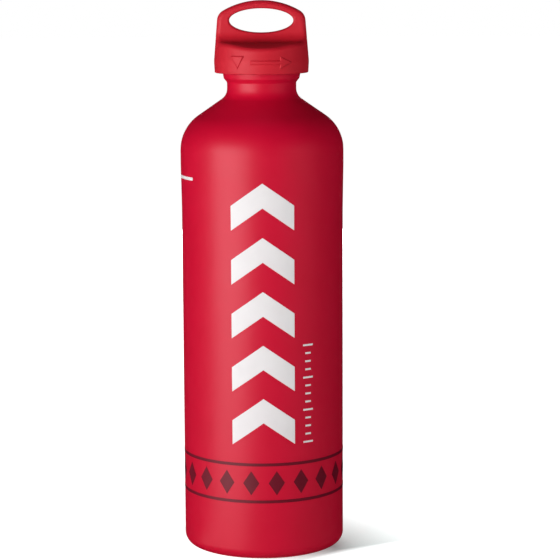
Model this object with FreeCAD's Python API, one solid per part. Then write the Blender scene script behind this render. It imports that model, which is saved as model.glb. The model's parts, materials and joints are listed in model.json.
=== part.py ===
import FreeCAD
import Part
import math
import os

# Camping fuel bottle with a press-and-turn cap. Millimetres, +Z up the bottle axis, base on z = 0,
# the carry loop wide along X. Every height above the shoulder is worked out from the bottle's rim.

# Bottle outside
BOTTLE_HEIGHT = 241.0        # base to rim
BODY_RADIUS = 40.0           # straight barrel
FOOT_ROUNDING = 5.3          # barrel to base
STAND_RING_WIDTH = 4.7       # flat ring that the bottle stands on
BASE_RECESS = 6.0            # rise of the base panel inside that ring
BASE_SLOPE_RUN = 9.0         # radial run of the slope up to the panel
BASE_ROUNDING = 3.0          # both edges of that slope
SHOULDER_ANGLE = 34.7        # degrees above level
SHOULDER_ROUNDING = 20.5     # barrel to shoulder
SHOULDER_SWELL = 0.4         # the barrel grows by this much just below the shoulder
SWELL_LENGTH = 24.0          # height over which it grows
SWELL_LAND = 7.0             # straight stretch above it
NECK_ROUNDING = 6.2          # shoulder to neck
WAIST_HEIGHT = 3.1           # straight waist of the neck
FLARE_HEIGHT = 2.0           # cone from the waist out to the collar
FLARE_ROUNDING = 1.0         # both ends of that cone
COLLAR_HEIGHT = 4.0          # straight collar under the rim
COLLAR_TAPER_HEIGHT = 2.7    # below that the collar narrows
COLLAR_TAPER = 0.5           # by this much on the radius
RIM_ROUNDING = 1.0           # outer edge of the rim

# Bottle walls
BODY_WALL = 0.9              # barrel
BASE_WALL = 2.2              # base panel
SHOULDER_WALL = 1.6          # shoulder, where it leaves the barrel
NECK_WALL = 3.1              # waist of the neck
COLLAR_WALL = 2.2            # collar, around the seal's seat
BORE_RADIUS = 14.0           # bore of the neck, at the root of its thread
BORE_SPARE = 2.0             # bore that runs on below the plug
BORE_ROUNDING = 2.0          # lower edge of the bore

# Thread, one right-hand start
THREAD_PITCH = 4.0
THREAD_DEPTH = 1.1
RIDGE_ROOT_SHARE = 0.575     # share of the pitch that the stopper's ridge takes at its root
RIDGE_CREST_SHARE = 0.325    # and at its crest
THREAD_GAP = 0.25            # play between the two threads, on radius and along the axis
RIDGE_END_DROP = 0.6         # seal's seat down to the upper end of each ridge
JOIN_DEPTH = 0.4             # raised features are sunk this far into the wall that carries them

# Seal ring, squeezed flat above and below
SEAL_SECTION = 3.2           # width across the squeezed section
SEAL_SQUEEZE = 0.5           # taken off its height
SEAL_SIDE_GAP = 0.2          # to the shank and to the seat's wall
SHANK_RELIEF = 0.35          # thread crest in to the shank that the seal sits around

# Stopper
FLANGE_RISE = 0.3            # rim up to the flange
FLANGE_THICKNESS = 2.0
PLUG_LENGTH = 14.0           # rim down to the plug's end
PLUG_WALL = 3.45             # thread root in to the spring well
PLUG_CHAMFER = 0.8
PLUG_FLOOR = 2.8             # closed end under the spring well
STOPPER_ROUNDING = 0.5
VENT_WIDTH = 3.0             # slot through the thread, lets pressure out before the plug is free
VENT_DEPTH = 0.5             # below the thread's root

# Drive teeth, on the stopper and under the cap's ceiling
PRESS_TRAVEL = 1.6           # the cap goes down by this much to drive the stopper
TOOTH_COUNT = 12
TOOTH_ANGLE = 12.0           # degrees that one tooth covers
TOOTH_WIDTH = 3.9            # along the radius
TOOTH_EDGE_INSET = 0.8       # flange edge in to the teeth
TOOTH_TIP_GAP = 0.4          # tip to tip while the cap is up
TOOTH_FLOOR_GAP = 0.4        # tip to floor while the cap is pressed

# Return spring
SPRING_WIRE = 1.4
SPRING_SIDE_GAP = 0.9        # spring to well
SPRING_END_GAP = 0.5         # between the first two turns at each end
SPRING_MID_TURNS = 3.25      # turns between the two end turns
SPRING_GROUND = 0.25         # cut off the wire at each end to make a flat seat
SPRING_STEPS = 4             # path pieces in a turn
POST_SIDE_GAP = 0.5          # cap post to the spring's inside
POST_LENGTH = 4.0

# Cap, inside
BEAD_COLLAR_GAP = 0.35       # collar of the bottle out to the bead that keeps the stopper in
BEAD_HOLD = 0.65             # overlap of bead and flange
BEAD_GAP = 0.3               # flange down to the bead
BEAD_LAND = 0.7
BEAD_SLOPE_HEIGHT = 0.6      # each side of the land
FLANGE_SIDE_GAP = 0.4        # flange out to the skirt
CEILING_ROUNDING = 0.8

# Cap, outside
SKIRT_OVERLAP = 4.0          # rim down to the skirt's edge
SKIRT_WALL = 2.5             # at the edge
SKIRT_BULGE = 0.3            # the widest ring stands out from the edge by this much
SKIRT_BULGE_HEIGHT = 5.8     # skirt's edge up to that ring
SKIRT_BULGE_ROUNDING = 12.0
SKIRT_EDGE_ROUNDING = 0.6
CAP_TAPER = 4.7              # degrees, widest ring to the top
DECK_THICKNESS = 2.4         # ceiling up to the deck's outer edge
DECK_SLOPE = 6.0             # degrees, deck falls away from the loop
DECK_FALL = 17.0             # degrees, its outer part falls more steeply
DECK_FALL_RUN = 7.0          # width of that outer part
DECK_BEND_ROUNDING = 12.0    # between the two
LOOP_THICKNESS = 8.0         # at the foot of the loop
LOOP_DRAFT = 1.5             # degrees on each face
LOOP_FOOT_ROUNDING = 5.0     # face of the loop to the deck
LOOP_SILL = 3.88             # deck up to the hole
LOOP_TOP_BAR = 3.97          # hole up to the top of the loop
LOOP_LEG = 6.0               # hole out to the side of the cap
LOOP_CROWN_RADIUS = 37.7     # arc over the top of the loop, seen from the front
LOOP_CORNER_ROUNDING = 5.8   # crown to the side of the cap
LOOP_EDGE_ROUNDING = 2.4     # around both faces
HOLE_HEIGHT = 11.86
HOLE_EDGE_ROUNDING = 1.1
LOOP_FACE_LAND = 0.2         # least flat face left between two rounded edges of the loop

# Raised marks on the skirt: a press mark and a turn arrow, front and back
MARK_RAISE = 0.5             # above the widest ring of the skirt
MARK_CHAMFER = 0.45          # all round their faces
MARK_HEIGHT = 6.4
MARK_MIDDLE_HEIGHT = 5.7     # skirt's edge up to the middle of the marks
PRESS_MARK_WIDTH = 6.4
PRESS_MARK_LEFT = -15.0
ARROW_LEFT = -5.5
ARROW_RIGHT = 15.0
ARROW_HEAD = 6.0
ARROW_SHAFT = 2.2

OVERRUN = 5.0                # cutting bodies run past what they cut by this much
REACH = 60.0                 # and this far out from the axis
FULL_TURN = 360.0
MATCH = 1e-4                 # a point this near a face lies on it

# Radii that follow from the sizes above, from the bore outwards
STOPPER_CREST_RADIUS = BORE_RADIUS - THREAD_GAP
STOPPER_ROOT_RADIUS = STOPPER_CREST_RADIUS - THREAD_DEPTH
WELL_RADIUS = STOPPER_ROOT_RADIUS - PLUG_WALL
SPRING_MEAN_RADIUS = WELL_RADIUS - SPRING_SIDE_GAP - SPRING_WIRE / 2
POST_RADIUS = SPRING_MEAN_RADIUS - SPRING_WIRE / 2 - POST_SIDE_GAP
SHANK_RADIUS = STOPPER_CREST_RADIUS - SHANK_RELIEF
SEAL_MIDDLE_RADIUS = SHANK_RADIUS + SEAL_SIDE_GAP + SEAL_SECTION / 2
SEAT_RADIUS = SEAL_MIDDLE_RADIUS + SEAL_SECTION / 2 + SEAL_SIDE_GAP
NECK_RADIUS = BORE_RADIUS + NECK_WALL
COLLAR_RADIUS = SEAT_RADIUS + COLLAR_WALL
BEAD_RADIUS = COLLAR_RADIUS + BEAD_COLLAR_GAP
FLANGE_RADIUS = BEAD_RADIUS + BEAD_HOLD
TOOTH_OUTER_RADIUS = FLANGE_RADIUS - TOOTH_EDGE_INSET
TOOTH_INNER_RADIUS = TOOTH_OUTER_RADIUS - TOOTH_WIDTH
CAVITY_RADIUS = FLANGE_RADIUS + FLANGE_SIDE_GAP
SKIRT_EDGE_RADIUS = CAVITY_RADIUS + SKIRT_WALL
SKIRT_BULGE_RADIUS = SKIRT_EDGE_RADIUS + SKIRT_BULGE

# Heights that follow from the sizes above
RIM_Z = BOTTLE_HEIGHT
COLLAR_Z = RIM_Z - COLLAR_HEIGHT
COLLAR_EDGE_Z = COLLAR_Z - COLLAR_TAPER_HEIGHT
FLARE_Z = COLLAR_EDGE_Z - FLARE_HEIGHT
PLUG_END_Z = RIM_Z - PLUG_LENGTH
BORE_END_Z = PLUG_END_Z - BORE_SPARE
WELL_FLOOR_Z = PLUG_END_Z + PLUG_FLOOR
FLANGE_Z = RIM_Z + FLANGE_RISE
SEAT_Z = FLANGE_Z - (SEAL_SECTION - SEAL_SQUEEZE)
FLANGE_TOP_Z = FLANGE_Z + FLANGE_THICKNESS
TOOTH_HEIGHT = PRESS_TRAVEL + TOOTH_FLOOR_GAP - TOOTH_TIP_GAP
CEILING_Z = FLANGE_TOP_Z + 2 * TOOTH_HEIGHT + TOOTH_TIP_GAP
DECK_EDGE_Z = CEILING_Z + DECK_THICKNESS
SKIRT_Z = RIM_Z - SKIRT_OVERLAP
BULGE_Z = SKIRT_Z + SKIRT_BULGE_HEIGHT
MARK_Z = SKIRT_Z + MARK_MIDDLE_HEIGHT

ORIGIN = FreeCAD.Vector(0, 0, 0)
X_AXIS = FreeCAD.Vector(1, 0, 0)
Y_AXIS = FreeCAD.Vector(0, 1, 0)
Z_AXIS = FreeCAD.Vector(0, 0, 1)


def rounded_wire(corners):
    """Closed wire in the XZ plane through corners (x, z, rounding), with a tangent arc in rounded ones."""
    points = [FreeCAD.Vector(x, 0, z) for x, z, rounding in corners]
    stretches = []
    for index, corner in enumerate(points):
        before = (points[index - 1] - corner).normalize()
        after = (points[(index + 1) % len(points)] - corner).normalize()
        rounding = corners[index][2]
        if not rounding:
            stretches.append((corner, None, corner))
            continue
        half_angle = before.getAngle(after) / 2
        reach = rounding / math.tan(half_angle)
        inward = (before + after).normalize()
        middle = corner + inward * (rounding / math.sin(half_angle) - rounding)
        stretches.append((corner + before * reach, middle, corner + after * reach))
    edges = []
    for index, (start, middle, end) in enumerate(stretches):
        if middle:
            edges.append(Part.Arc(start, middle, end).toShape())
        following = stretches[(index + 1) % len(stretches)][0]
        if (following - end).Length > MATCH:
            edges.append(Part.makeLine(end, following))
    return Part.Wire(edges)


def turned(corners, angle=FULL_TURN):
    """Solid of revolution about Z from corners (radius, z, rounding)."""
    return Part.Face(rounded_wire(corners)).revolve(ORIGIN, Z_AXIS, angle)


def one_solid(shape):
    """The single solid of a boolean result, with faces that belong together merged."""
    shape = shape.removeSplitter()
    if len(shape.Solids) != 1:
        raise ValueError("expected one solid, found %d" % len(shape.Solids))
    return shape.Solids[0]


def edges_on_both(shape, first, second):
    """Edges of shape whose middles lie on the skins of two other shapes."""
    first_skin = Part.makeCompound(first.Faces)
    second_skin = Part.makeCompound(second.Faces)
    found = []
    for edge in shape.Edges:
        middle = Part.Vertex(edge.valueAt((edge.FirstParameter + edge.LastParameter) / 2))
        on_first = middle.distToShape(first_skin)[0] < MATCH
        on_second = middle.distToShape(second_skin)[0] < MATCH
        if on_first and on_second:
            found.append(edge)
    return found


def stopper_ridge_width(radius):
    """Width of the stopper's ridge at a radius, along its straight flanks."""
    rise = (radius - STOPPER_ROOT_RADIUS) / THREAD_DEPTH
    return THREAD_PITCH * (RIDGE_ROOT_SHARE + rise * (RIDGE_CREST_SHARE - RIDGE_ROOT_SHARE))


def neck_ridge_width(radius):
    """Width of the neck's ridge at a radius: what the stopper's ridge and the play leave of the pitch."""
    return THREAD_PITCH - stopper_ridge_width(radius) - 2 * THREAD_GAP


def helical_ridge(low_z, high_z, inner_radius, outer_radius, width_at, phase):
    """One thread ridge whose flanks stay between two heights, turned by a phase in degrees."""
    inner_width = width_at(inner_radius)
    outer_width = width_at(outer_radius)
    margin = max(inner_width, outer_width) / 2
    start_z = low_z + margin
    helix = Part.Wire(Part.makeHelix(THREAD_PITCH, high_z - margin - start_z, inner_radius))
    section = [
        FreeCAD.Vector(inner_radius, 0, -inner_width / 2),
        FreeCAD.Vector(outer_radius, 0, -outer_width / 2),
        FreeCAD.Vector(outer_radius, 0, outer_width / 2),
        FreeCAD.Vector(inner_radius, 0, inner_width / 2),
    ]
    ridge = helix.makePipeShell([Part.makePolygon(section + section[:1])], True, True)
    ridge.rotate(ORIGIN, Z_AXIS, phase + FULL_TURN * (start_z - RIM_Z) / THREAD_PITCH)
    ridge.translate(Z_AXIS * start_z)
    return ridge


def bottle_outline():
    """Corners of the bottle's half section: up the outside, over the rim and down the inside."""
    swollen = BODY_RADIUS + SHOULDER_SWELL
    arc_reach = math.tan(math.radians(FULL_TURN / 4 - SHOULDER_ANGLE) / 2)
    neck_z = FLARE_Z - WAIST_HEIGHT - NECK_ROUNDING * arc_reach
    barrel_z = neck_z - (swollen - NECK_RADIUS) * math.tan(math.radians(SHOULDER_ANGLE))
    swell_top_z = barrel_z - SHOULDER_ROUNDING * arc_reach - SWELL_LAND
    ring_inner = BODY_RADIUS - FOOT_ROUNDING - STAND_RING_WIDTH
    panel_radius = ring_inner - BASE_SLOPE_RUN
    outside = [
        (0, BASE_RECESS, 0),
        (panel_radius, BASE_RECESS, BASE_ROUNDING),
        (ring_inner, 0, BASE_ROUNDING),
        (BODY_RADIUS, 0, FOOT_ROUNDING),
        (BODY_RADIUS, swell_top_z - SWELL_LENGTH, 0),
        (swollen, swell_top_z, 0),
        (swollen, barrel_z, SHOULDER_ROUNDING),
        (NECK_RADIUS, neck_z, NECK_ROUNDING),
        (NECK_RADIUS, FLARE_Z, FLARE_ROUNDING),
        (COLLAR_RADIUS - COLLAR_TAPER, COLLAR_EDGE_Z, FLARE_ROUNDING),
        (COLLAR_RADIUS, COLLAR_Z, 0),
        (COLLAR_RADIUS, RIM_Z, RIM_ROUNDING),
    ]
    inner_barrel = BODY_RADIUS - BODY_WALL
    inside = [
        (SEAT_RADIUS, RIM_Z, 0),
        (SEAT_RADIUS, SEAT_Z, 0),
        (BORE_RADIUS, SEAT_Z, 0),
        (BORE_RADIUS, BORE_END_Z, BORE_ROUNDING),
        (inner_barrel, barrel_z - SHOULDER_WALL, SHOULDER_ROUNDING - SHOULDER_WALL),
        (inner_barrel, BASE_WALL, FOOT_ROUNDING - BODY_WALL),
        (ring_inner, BASE_WALL, BASE_ROUNDING + BASE_WALL),
        (panel_radius, BASE_RECESS + BASE_WALL, BASE_ROUNDING),
        (0, BASE_RECESS + BASE_WALL, 0),
    ]
    return outside, inside


def make_bottle_shell():
    """Bottle with the thread's ridge standing in its neck."""
    outside, inside = bottle_outline()
    ridge = helical_ridge(
        BORE_END_Z + BORE_ROUNDING,
        SEAT_Z - RIDGE_END_DROP,
        BORE_RADIUS - THREAD_DEPTH,
        BORE_RADIUS + JOIN_DEPTH,
        neck_ridge_width,
        FULL_TURN / 2,
    )
    return one_solid(turned(outside + inside).fuse(ridge))


def fuel_volume():
    """Litres that the bottle holds up to its rim, threads left out."""
    outside, inside = bottle_outline()
    filled = turned([(0, RIM_Z, 0)] + inside)
    return filled.Volume / 1e6


def make_seal_ring():
    """Ring of round rubber, flattened between the seat and the flange."""
    height = FLANGE_Z - SEAT_Z
    cord = Part.makeTorus(SEAL_MIDDLE_RADIUS, SEAL_SECTION / 2, Z_AXIS * (SEAT_Z + height / 2))
    slab = Part.makeCylinder(SEAT_RADIUS, height, Z_AXIS * SEAT_Z)
    return one_solid(cord.common(slab))


def drive_teeth(low_z, high_z, first_angle):
    """Ring of drive teeth between two heights."""
    tooth = turned(
        [
            (TOOTH_INNER_RADIUS, low_z, 0),
            (TOOTH_OUTER_RADIUS, low_z, 0),
            (TOOTH_OUTER_RADIUS, high_z, 0),
            (TOOTH_INNER_RADIUS, high_z, 0),
        ],
        TOOTH_ANGLE,
    )
    teeth = []
    for index in range(TOOTH_COUNT):
        turn = first_angle - TOOTH_ANGLE / 2 + FULL_TURN * index / TOOTH_COUNT
        teeth.append(tooth.rotated(ORIGIN, Z_AXIS, turn))
    return teeth


def make_stopper():
    """Threaded plug with its flange, drive teeth, spring well and vent slot."""
    core = turned([
        (0, PLUG_END_Z, 0),
        (STOPPER_ROOT_RADIUS - PLUG_CHAMFER, PLUG_END_Z, 0),
        (STOPPER_ROOT_RADIUS, PLUG_END_Z + PLUG_CHAMFER, 0),
        (STOPPER_ROOT_RADIUS, SEAT_Z, 0),
        (SHANK_RADIUS, SEAT_Z + (SHANK_RADIUS - STOPPER_ROOT_RADIUS), 0),
        (SHANK_RADIUS, FLANGE_Z, 0),
        (FLANGE_RADIUS, FLANGE_Z, STOPPER_ROUNDING),
        (FLANGE_RADIUS, FLANGE_TOP_Z, STOPPER_ROUNDING),
        (WELL_RADIUS, FLANGE_TOP_Z, STOPPER_ROUNDING),
        (WELL_RADIUS, WELL_FLOOR_Z, STOPPER_ROUNDING),
        (0, WELL_FLOOR_Z, 0),
    ])
    ridge = helical_ridge(
        PLUG_END_Z + PLUG_CHAMFER,
        SEAT_Z - RIDGE_END_DROP,
        STOPPER_ROOT_RADIUS - JOIN_DEPTH,
        STOPPER_CREST_RADIUS,
        stopper_ridge_width,
        0,
    )
    teeth = drive_teeth(FLANGE_TOP_Z - JOIN_DEPTH, FLANGE_TOP_Z + TOOTH_HEIGHT, 0)
    solid = core.fuse([ridge] + teeth)
    vent = Part.makeBox(
        REACH,
        VENT_WIDTH,
        SEAT_Z - PLUG_END_Z,
        FreeCAD.Vector(STOPPER_ROOT_RADIUS - VENT_DEPTH, -VENT_WIDTH / 2, PLUG_END_Z),
    )
    return one_solid(solid.cut(vent))


def spring_height(turn, low_z, high_z, total_turns):
    """Height of the spring's middle line after a number of turns: close end turns, wide ones between."""
    close_rise = SPRING_WIRE + SPRING_END_GAP
    wide_rise = (high_z - low_z - 2 * close_rise) / SPRING_MID_TURNS
    low_part = min(turn, 1.0) * close_rise
    high_part = max(turn - (total_turns - 1.0), 0.0) * close_rise
    wide_part = min(max(turn - 1.0, 0.0), SPRING_MID_TURNS) * wide_rise
    return low_z + low_part + wide_part + high_part


def spring_path():
    """Middle line of the spring as pairs of tangent arcs, a quarter turn to a pair."""
    low_z = WELL_FLOOR_Z + SPRING_WIRE / 2 - SPRING_GROUND
    high_z = CEILING_Z - SPRING_WIRE / 2 + SPRING_GROUND
    total_turns = SPRING_MID_TURNS + 2.0
    count = round(total_turns * SPRING_STEPS)
    step = total_turns / count
    knots = []
    for index in range(count + 1):
        turn = index * step
        angle = 2 * math.pi * turn
        point = FreeCAD.Vector(
            SPRING_MEAN_RADIUS * math.cos(angle),
            SPRING_MEAN_RADIUS * math.sin(angle),
            spring_height(turn, low_z, high_z, total_turns),
        )
        before = spring_height(max(turn - step / 2, 0.0), low_z, high_z, total_turns)
        after = spring_height(min(turn + step / 2, total_turns), low_z, high_z, total_turns)
        span = min(turn + step / 2, total_turns) - max(turn - step / 2, 0.0)
        rise = (after - before) / span
        around = 2 * math.pi * SPRING_MEAN_RADIUS
        heading = FreeCAD.Vector(-around * math.sin(angle), around * math.cos(angle), rise)
        knots.append((point, heading.normalize()))
    edges = []
    for (start, start_way), (end, end_way) in zip(knots, knots[1:]):
        edges.extend(tangent_arcs(start, start_way, end, end_way))
    return Part.Wire(edges), knots[0]


def tangent_arcs(start, start_way, end, end_way):
    """Two arcs that join two points and follow the given directions there."""
    across = end - start
    ways = start_way + end_way
    spread = 2 * (1 - start_way.dot(end_way))
    lean = across.dot(ways)
    reach = (-lean + math.sqrt(lean * lean + spread * across.dot(across))) / spread
    first_tip = start + start_way * reach
    second_tip = end - end_way * reach
    joint = (first_tip + second_tip) * 0.5
    return [
        arc_under_tip(start, first_tip, joint),
        arc_under_tip(joint, second_tip, end),
    ]


def arc_under_tip(start, tip, end):
    """Arc from start to end whose end tangents meet at the tip."""
    chord_middle = (start + end) * 0.5
    half_chord = (end - start).Length / 2
    tip_way = tip - chord_middle
    bend = math.atan2(tip_way.Length, half_chord)
    middle = chord_middle + tip_way.normalize() * (half_chord * math.tan(bend / 2))
    return Part.Arc(start, middle, end).toShape()


def least_self_gap(path):
    """Least distance between neighbouring turns of the wire, measured on points of its middle line."""
    samples = path.discretize(Number=400)
    skip = 2 * math.pi * SPRING_MEAN_RADIUS / 2
    spacing = path.Length / (len(samples) - 1)
    apart = int(skip / spacing)
    least = min(
        (first - second).Length
        for index, first in enumerate(samples)
        for second in samples[index + apart:]
    )
    return least - SPRING_WIRE


def make_return_spring():
    """Round wire wound into a compression spring, ground flat at both ends."""
    path, (start, start_way) = spring_path()
    print("return_spring least gap between turns %.3f mm" % least_self_gap(path))
    section = Part.Wire(Part.Circle(start, start_way, SPRING_WIRE / 2).toShape())
    wire = path.makePipeShell([section], True, False)
    seats = Part.makeCylinder(WELL_RADIUS, CEILING_Z - WELL_FLOOR_Z, Z_AXIS * WELL_FLOOR_Z)
    return one_solid(wire.common(seats))


def cap_radius(z):
    """Radius of the cap's tapered side at a height above its widest ring."""
    return SKIRT_BULGE_RADIUS - (z - BULGE_Z) * math.tan(math.radians(CAP_TAPER))


def deck_bend():
    """Distance from the axis and height of the line where the deck starts to fall more steeply."""
    bend_z = DECK_EDGE_Z + DECK_FALL_RUN * math.tan(math.radians(DECK_FALL))
    return cap_radius(DECK_EDGE_Z) - DECK_FALL_RUN, bend_z


def loop_foot_z():
    """Height where the deck would meet the face of the loop."""
    bend, bend_z = deck_bend()
    return bend_z + (bend - LOOP_THICKNESS / 2) * math.tan(math.radians(DECK_SLOPE))


def cap_top_z():
    """Top of the carry loop."""
    return loop_foot_z() + LOOP_SILL + HOLE_HEIGHT + LOOP_TOP_BAR


def cap_blank(grow=0.0):
    """The cap's turned outside as a full body, grown by a given amount on its radius."""
    top_z = cap_top_z() + OVERRUN
    blank = turned([
        (0, SKIRT_Z, 0),
        (SKIRT_EDGE_RADIUS + grow, SKIRT_Z, SKIRT_EDGE_ROUNDING),
        (SKIRT_BULGE_RADIUS + grow, BULGE_Z, SKIRT_BULGE_ROUNDING),
        (cap_radius(top_z) + grow, top_z, 0),
        (0, top_z, 0),
    ])
    # The seam of the turning goes to the back, where the scoop takes its upper part away
    return blank.rotated(ORIGIN, Z_AXIS, FULL_TURN / 4)


def loop_scoop():
    """Body that scoops away one side of the cap and leaves half of the loop and a sloping deck."""
    foot = LOOP_THICKNESS / 2
    foot_z = loop_foot_z()
    bend, bend_z = deck_bend()
    far_z = bend_z - (REACH - bend) * math.tan(math.radians(DECK_FALL))
    high_z = cap_top_z() + OVERRUN
    high = foot - (high_z - foot_z) * math.tan(math.radians(LOOP_DRAFT))
    outline = rounded_wire([
        (foot, foot_z, LOOP_FOOT_ROUNDING),
        (bend, bend_z, DECK_BEND_ROUNDING),
        (REACH, far_z, 0),
        (REACH, high_z, 0),
        (high, high_z, 0),
    ])
    scoop = Part.Face(outline).extrude(Y_AXIS * (2 * REACH))
    scoop.translate(Y_AXIS * -REACH)
    scoop.rotate(ORIGIN, Z_AXIS, -FULL_TURN / 4)
    return scoop


def loop_hole():
    """Oval hole of the carry loop, through along Y."""
    middle_z = loop_foot_z() + LOOP_SILL + HOLE_HEIGHT / 2
    oval = Part.Ellipse(ORIGIN, cap_radius(middle_z) - LOOP_LEG, HOLE_HEIGHT / 2).toShape()
    oval.rotate(ORIGIN, X_AXIS, FULL_TURN / 4)
    oval.translate(FreeCAD.Vector(0, -REACH, middle_z))
    return Part.Face(Part.Wire(oval)).extrude(Y_AXIS * (2 * REACH))


def cap_cavity():
    """Space under the cap, narrowed by the bead that keeps the stopper in."""
    bead_top_z = FLANGE_Z - BEAD_GAP
    land_top_z = bead_top_z - BEAD_SLOPE_HEIGHT
    land_z = land_top_z - BEAD_LAND
    return turned([
        (0, SKIRT_Z - OVERRUN, 0),
        (CAVITY_RADIUS, SKIRT_Z - OVERRUN, 0),
        (CAVITY_RADIUS, land_z - BEAD_SLOPE_HEIGHT, 0),
        (BEAD_RADIUS, land_z, 0),
        (BEAD_RADIUS, land_top_z, 0),
        (CAVITY_RADIUS, bead_top_z, 0),
        (CAVITY_RADIUS, CEILING_Z, CEILING_ROUNDING),
        (0, CEILING_Z, 0),
    ])


def upright_prism(points):
    """Body with a flat outline of (x, z) points, running out from the axis to the front."""
    outline = [FreeCAD.Vector(x, 0, z) for x, z in points]
    return Part.Face(Part.makePolygon(outline + outline[:1])).extrude(Y_AXIS * -REACH)


def skirt_marks():
    """Raised press mark and turn arrow, front and back."""
    top = MARK_Z + MARK_HEIGHT / 2
    bottom = MARK_Z - MARK_HEIGHT / 2
    press = upright_prism([
        (PRESS_MARK_LEFT, top),
        (PRESS_MARK_LEFT + PRESS_MARK_WIDTH, top),
        (PRESS_MARK_LEFT + PRESS_MARK_WIDTH / 2, bottom),
    ])
    neck = ARROW_RIGHT - ARROW_HEAD
    arrow = upright_prism([
        (ARROW_LEFT, MARK_Z - ARROW_SHAFT / 2),
        (neck, MARK_Z - ARROW_SHAFT / 2),
        (neck, bottom),
        (ARROW_RIGHT, MARK_Z),
        (neck, top),
        (neck, MARK_Z + ARROW_SHAFT / 2),
        (ARROW_LEFT, MARK_Z + ARROW_SHAFT / 2),
    ])
    # Their faces lie on one cylinder around the skirt
    raised = Part.makeCylinder(
        SKIRT_BULGE_RADIUS + MARK_RAISE,
        2 * MARK_MIDDLE_HEIGHT,
        FreeCAD.Vector(0, 0, SKIRT_Z),
    )
    skin = raised.cut(cap_blank(-JOIN_DEPTH))
    front = []
    for outline in (press, arrow):
        mark = one_solid(outline.common(skin))
        front.append(mark.makeChamfer(MARK_CHAMFER, edges_on_both(mark, raised, outline)))
    back = [mark.rotated(ORIGIN, Z_AXIS, FULL_TURN / 2) for mark in front]
    return front + back


def make_cap_shell():
    """Outer cap with its carry loop, hollow skirt, bead, drive teeth and spring post."""
    crown = Part.makeCylinder(
        LOOP_CROWN_RADIUS,
        2 * REACH,
        FreeCAD.Vector(0, -REACH, cap_top_z() - LOOP_CROWN_RADIUS),
        Y_AXIS,
    )
    side = cap_blank()
    body = side.common(crown)
    body = body.makeFillet(LOOP_CORNER_ROUNDING, edges_on_both(body, side, crown))
    front_scoop = loop_scoop()
    back_scoop = front_scoop.rotated(ORIGIN, Z_AXIS, FULL_TURN / 2)
    scoops = Part.makeCompound([front_scoop, back_scoop])
    whole = body
    body = body.cut([front_scoop, back_scoop])
    hole = loop_hole()
    # The rounded edges of the crown and the hole share the bar between them
    bar = hole.distToShape(crown.Faces[0])[0]
    edge_rounding = min(LOOP_EDGE_ROUNDING, bar - HOLE_EDGE_ROUNDING - LOOP_FACE_LAND)
    body = body.makeFillet(edge_rounding, edges_on_both(body, whole, scoops))
    body = body.cut(hole)
    body = body.makeFillet(HOLE_EDGE_ROUNDING, edges_on_both(body, hole, scoops))
    body = body.cut(cap_cavity())
    teeth_angle = FULL_TURN / TOOTH_COUNT / 2
    teeth = drive_teeth(CEILING_Z - TOOTH_HEIGHT, CEILING_Z + JOIN_DEPTH, teeth_angle)
    post = turned([
        (0, CEILING_Z - POST_LENGTH, 0),
        (POST_RADIUS, CEILING_Z - POST_LENGTH, STOPPER_ROUNDING),
        (POST_RADIUS, CEILING_Z + JOIN_DEPTH, 0),
        (0, CEILING_Z + JOIN_DEPTH, 0),
    ])
    return one_solid(body.fuse(teeth + [post] + skirt_marks()))


def main():
    os.makedirs("parts", exist_ok=True)
    pieces = {
        "bottle_shell": make_bottle_shell(),
        "seal_ring": make_seal_ring(),
        "stopper": make_stopper(),
        "return_spring": make_return_spring(),
        "cap_shell": make_cap_shell(),
    }
    for name, shape in pieces.items():
        shape.exportStep("parts/%s.step" % name)
        box = shape.optimalBoundingBox()
        print("%s %.2f cm3, z %.2f to %.2f mm" % (name, shape.Volume / 1e3, box.ZMin, box.ZMax))
    print("fuel space to the rim %.3f litres" % fuel_volume())


main()
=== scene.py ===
# %% [markdown]
# # A camping fuel bottle
# The frame holds the bottle's five solids in their real places: the drawn bottle, its cap, and under the
# cap a threaded stopper, a seal ring and a return spring. This lesson gives each of them the finish that
# the real material has, lays the printed decoration on the barrel, and sets the bottle on a white sweep.
# The solids have the right shape already, so most of them stay as they are and only get materials.

# %% Load the frame
import json
import math

import bmesh
import bpy
from mathutils import Matrix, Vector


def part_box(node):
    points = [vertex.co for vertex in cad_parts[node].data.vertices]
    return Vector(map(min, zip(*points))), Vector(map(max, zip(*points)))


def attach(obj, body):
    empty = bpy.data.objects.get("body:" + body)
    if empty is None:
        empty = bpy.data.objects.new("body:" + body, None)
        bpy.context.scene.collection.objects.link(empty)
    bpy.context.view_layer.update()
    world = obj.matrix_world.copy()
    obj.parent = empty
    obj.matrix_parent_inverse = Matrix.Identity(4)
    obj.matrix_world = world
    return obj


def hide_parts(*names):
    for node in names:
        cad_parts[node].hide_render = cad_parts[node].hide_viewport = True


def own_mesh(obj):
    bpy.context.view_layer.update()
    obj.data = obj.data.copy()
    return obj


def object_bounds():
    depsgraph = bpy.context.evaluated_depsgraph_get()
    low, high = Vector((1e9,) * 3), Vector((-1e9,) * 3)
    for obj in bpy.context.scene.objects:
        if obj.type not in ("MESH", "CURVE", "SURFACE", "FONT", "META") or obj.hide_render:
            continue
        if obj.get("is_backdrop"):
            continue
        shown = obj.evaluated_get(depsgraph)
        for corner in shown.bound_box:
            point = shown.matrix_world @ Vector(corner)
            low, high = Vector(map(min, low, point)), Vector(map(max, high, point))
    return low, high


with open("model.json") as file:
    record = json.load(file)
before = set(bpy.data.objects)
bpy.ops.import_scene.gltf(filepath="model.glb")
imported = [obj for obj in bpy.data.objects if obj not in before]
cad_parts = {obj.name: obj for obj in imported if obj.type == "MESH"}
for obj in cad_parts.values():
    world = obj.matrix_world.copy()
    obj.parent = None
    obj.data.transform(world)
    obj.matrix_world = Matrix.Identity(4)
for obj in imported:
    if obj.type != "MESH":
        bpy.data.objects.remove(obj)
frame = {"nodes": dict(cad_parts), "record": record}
solid_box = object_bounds()
nodes = frame["nodes"]
scene = bpy.context.scene
MM = 0.001
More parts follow.
